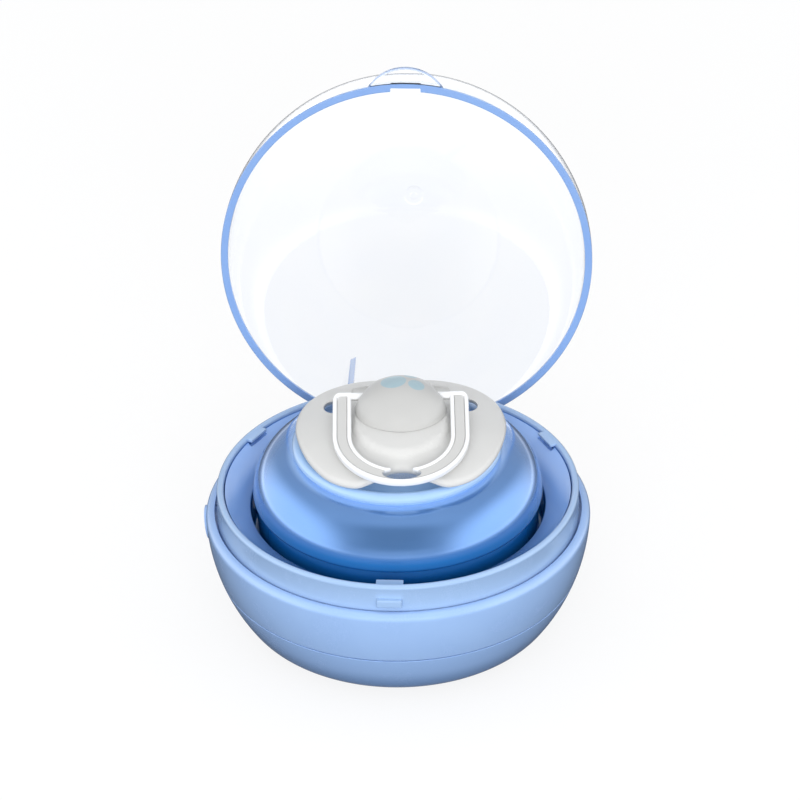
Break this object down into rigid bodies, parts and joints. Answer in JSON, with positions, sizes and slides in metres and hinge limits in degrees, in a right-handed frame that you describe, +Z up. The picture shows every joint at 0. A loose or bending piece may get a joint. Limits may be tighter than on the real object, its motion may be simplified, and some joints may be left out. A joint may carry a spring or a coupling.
{
  "type": "pacifier sterilizer case",
  "caption": "Round battery case that cleans a pacifier with ultraviolet light: ball shaped base, raised holder, clear hinged half-ball lid and a pacifier with a swinging ring.",
  "frame": {"origin": "centre of the foot pad, on the surface that the case stands on, below the centre of the ball", "axes": "+Z up, -Y to the front with the latch, +Y to the hinge, +X to the side with the charging port"},
  "size_m": [0.0886, 0.1393, 0.1105],
  "materials": {
    "shell_blue": "smooth satin light blue",
    "collar_blue": "smooth satin light blue",
    "liner_blue": "glossy mid blue",
    "holder_blue": "glossy translucent blue",
    "lid_clear": "clear, faint blue tint",
    "button_blue": "satin light blue",
    "pad_grey": "soft matt",
    "window_glass": "clear quartz",
    "gasket_rubber": "matt",
    "lamp_ceramic": "ceramic with clear lens",
    "board_green": "solder mask",
    "spreader_metal": "rolled",
    "chip_black": "moulded",
    "cell_foil": "foil pouch",
    "foam_grey": "foam",
    "lead_red": "insulated",
    "steel": "plain",
    "switch_black": "moulded",
    "port_metal": "drawn",
    "pacifier_white": "smooth satin off-white",
    "pacifier_ring_white": "smooth off-white",
    "teat_silicone": "clear silicone"
  },
  "bodies": {
    "case": {"foot_pad": "pad_grey", "bottom_cover": "shell_blue", "base_shell": "shell_blue", "cover_screws": "steel", "collar_ring": "collar_blue", "liner_bowl": "liner_blue", "holder_dome": "holder_blue", "uv_window": "window_glass", "window_gasket": "gasket_rubber", "uv_lamps": "lamp_ceramic", "lamp_board": "board_green", "heat_spreader": "spreader_metal", "lamp_leads": "lead_red", "main_board": "board_green", "main_chip": "chip_black", "board_screws": "steel", "battery_cell": "cell_foil", "battery_pad": "foam_grey", "battery_leads": "lead_red", "switch_board": "board_green", "button_switch": "switch_black", "switch_leads": "lead_red", "charge_board": "board_green", "usb_socket": "port_metal", "charge_leads": "lead_red", "interlock_switch": "switch_black", "interlock_leads": "lead_red", "hinge_pin": "steel"},
    "lid": {"lid_dome": "lid_clear"},
    "button": {"power_button": "button_blue"},
    "nib": {"switch_nib": "switch_black"},
    "plunger": {"interlock_plunger": "switch_black"},
    "pacifier": {"pacifier_shield": "pacifier_white", "pacifier_teat": "teat_silicone", "pacifier_plug": "pacifier_white", "pacifier_knob": "pacifier_white"},
    "ring": {"pacifier_ring": "pacifier_ring_white"}
  },
  "joints": [
    {"name": "lid_hinge", "type": "hinge", "parent": "case", "child": "lid", "pos_m": [0, 0.0402, 0.024], "axis": [-1, 0, 0], "range_deg": [-98, 0]},
    {"name": "power_button_press", "type": "slide", "parent": "case", "child": "button", "axis": [1, 0, 0], "range_m": [0, 0.0005], "stiffness_N_per_m": 1200, "springref_m": -0.0004},
    {"name": "switch_nib_press", "type": "slide", "parent": "case", "child": "nib", "axis": [1, 0, 0], "range_m": [0, 0.0005]},
    {"name": "interlock_press", "type": "slide", "parent": "case", "child": "plunger", "axis": [0, 0, 1], "range_m": [-0.001, 0], "stiffness_N_per_m": 300, "springref_m": 0.0006},
    {"name": "pacifier_lift", "type": "slide", "parent": "case", "child": "pacifier", "axis": [0, 0, 1], "range_m": [0, 0.04]},
    {"name": "ring_swing", "type": "hinge", "parent": "pacifier", "child": "ring", "pos_m": [0.00071, 0.00349, 0.0551], "axis": [-0.9985, -0.0541, 0], "range_deg": [0, 170]}
  ],
  "couplings": [
    {"joint": "switch_nib_press", "follows": "power_button_press", "ratio": 1}
  ]
}
